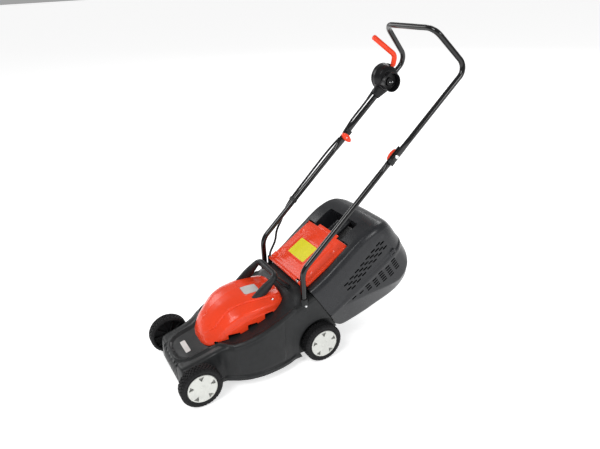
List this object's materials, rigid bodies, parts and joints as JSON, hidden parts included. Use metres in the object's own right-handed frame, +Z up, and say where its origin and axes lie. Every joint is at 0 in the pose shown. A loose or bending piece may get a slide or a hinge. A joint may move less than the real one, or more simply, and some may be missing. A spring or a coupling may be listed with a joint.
{
  "type": "push lawn mower",
  "caption": "Corded electric push mower: dark deck on wheels, orange-red motor hood and rear flap, slotted grass box, folding tubular handle with switch box and pull lever.",
  "frame": {"origin": "middle of the bounding box's bottom face, on the ground", "axes": "+Z up, the mower's front faces -Y, the operator stands at +Y, +X is the operator's left"},
  "size_m": [0.38, 1.0902, 1.0562],
  "materials": {
    "black_plastic": "satin moulded plastic, near black",
    "dark_plastic": "satin moulded plastic, dark grey",
    "red_plastic": "satin orange-red moulded plastic",
    "rubber": "matt black",
    "silver_plastic": "light grey moulded plastic",
    "black_paint": "gloss black paint on steel tube",
    "steel": "bright steel",
    "dark_steel": "dark plated steel",
    "copper": "copper windings and iron core",
    "brass": "bright brass"
  },
  "bodies": {
    "root": {"deck": "black_plastic", "motor_hood": "red_plastic", "hood_screw_left": "steel", "hood_screw_right": "steel", "carry_handle": "black_plastic", "motor_base": "dark_steel", "bearing_lower": "steel", "motor_can": "dark_steel", "bearing_upper": "steel", "stator": "copper", "lower_tube_left": "black_paint", "lower_tube_right": "black_paint", "socket_screw_left": "steel", "socket_screw_right": "steel", "flap_pin": "steel", "flap_spring": "steel", "cable_lower": "rubber", "cable_gland": "rubber", "cable_clip": "black_plastic"},
    "blade_rotor": {"armature": "copper", "motor_shaft": "steel", "cooling_fan": "black_plastic", "blade_holder": "dark_plastic", "blade": "steel", "blade_bolt": "dark_steel"},
    "front_axle": {"front_axle": "steel", "axle_nut_front_left": "steel", "axle_nut_front_right": "steel"},
    "rear_axle": {"rear_axle": "steel", "axle_nut_rear_left": "steel", "axle_nut_rear_right": "steel"},
    "wheel_front_left": {"wheel_front_left": "rubber", "hub_cap_front_left": "silver_plastic"},
    "wheel_front_right": {"wheel_front_right": "rubber", "hub_cap_front_right": "silver_plastic"},
    "wheel_rear_left": {"wheel_rear_left": "rubber", "hub_cap_rear_left": "silver_plastic"},
    "wheel_rear_right": {"wheel_rear_right": "rubber", "hub_cap_rear_right": "silver_plastic"},
    "discharge_flap": {"discharge_flap": "red_plastic"},
    "grass_box": {"grass_box_top": "dark_plastic", "grass_box_bottom": "dark_plastic", "grass_box_grip": "dark_plastic"},
    "upper_handle": {"upper_handle": "black_paint", "handle_bolt_left": "steel", "handle_bolt_right": "steel", "switch_box_inner": "black_plastic", "switch_box_outer": "black_plastic", "inlet_pin_front": "brass", "inlet_pin_rear": "brass", "micro_switch": "dark_plastic", "lever_pin": "steel", "lever_spring": "steel", "strain_relief": "rubber", "cable_upper": "rubber"},
    "knob_left": {"knob_left": "red_plastic"},
    "knob_right": {"knob_right": "red_plastic"},
    "switch_lever": {"switch_lever": "red_plastic"},
    "lock_button": {"lock_button": "red_plastic"}
  },
  "joints": [
    {"name": "front_axle_height", "type": "slide", "parent": "root", "child": "front_axle", "axis": [0, 0, -1], "range_m": [0, 0.03]},
    {"name": "rear_axle_height", "type": "slide", "parent": "root", "child": "rear_axle", "axis": [0, 0, -1], "range_m": [0, 0.03]},
    {"name": "wheel_spin_front_left", "type": "hinge", "parent": "front_axle", "child": "wheel_front_left", "pos_m": [0.169, -0.4761, 0.069], "axis": [1, 0, 0], "continuous": true},
    {"name": "wheel_spin_front_right", "type": "hinge", "parent": "front_axle", "child": "wheel_front_right", "pos_m": [-0.169, -0.4761, 0.069], "axis": [1, 0, 0], "continuous": true},
    {"name": "wheel_spin_rear_left", "type": "hinge", "parent": "rear_axle", "child": "wheel_rear_left", "pos_m": [0.169, -0.0401, 0.069], "axis": [1, 0, 0], "continuous": true},
    {"name": "wheel_spin_rear_right", "type": "hinge", "parent": "rear_axle", "child": "wheel_rear_right", "pos_m": [-0.169, -0.0401, 0.069], "axis": [1, 0, 0], "continuous": true},
    {"name": "blade_spin", "type": "hinge", "parent": "root", "child": "blade_rotor", "pos_m": [0, -0.26115, 0.04], "axis": [0, 0, 1], "continuous": true},
    {"name": "flap_lift", "type": "hinge", "parent": "root", "child": "discharge_flap", "pos_m": [0, -0.0761, 0.2745], "axis": [1, 0, 0], "range_deg": [0, 60], "stiffness_Nm_per_rad": 0.15, "springref_deg": -34.38},
    {"name": "grass_box_off", "type": "slide", "parent": "root", "child": "grass_box", "axis": [0, 0.8554, 0.518], "range_m": [0, 0.35]},
    {"name": "handle_fold", "type": "hinge", "parent": "root", "child": "upper_handle", "pos_m": [0, 0.27043, 0.66516], "axis": [1, 0, 0], "range_deg": [0, 135]},
    {"name": "knob_turn_left", "type": "hinge", "parent": "upper_handle", "child": "knob_left", "pos_m": [0.1495, 0.27043, 0.66516], "axis": [1, 0, 0], "range_deg": [0, 360]},
    {"name": "knob_turn_right", "type": "hinge", "parent": "upper_handle", "child": "knob_right", "pos_m": [-0.1495, 0.27043, 0.66516], "axis": [1, 0, 0], "range_deg": [0, 360]},
    {"name": "switch_lever_pull", "type": "hinge", "parent": "upper_handle", "child": "switch_lever", "pos_m": [-0.138, 0.45117, 0.8647], "axis": [-1, 0, 0], "range_deg": [0, 13], "stiffness_Nm_per_rad": 0.6, "springref_deg": -28.65},
    {"name": "lock_button_press", "type": "slide", "parent": "upper_handle", "child": "lock_button", "axis": [1, 0, 0], "range_m": [0, 0.004], "stiffness_N_per_m": 400, "springref_m": -0.002}
  ]
}
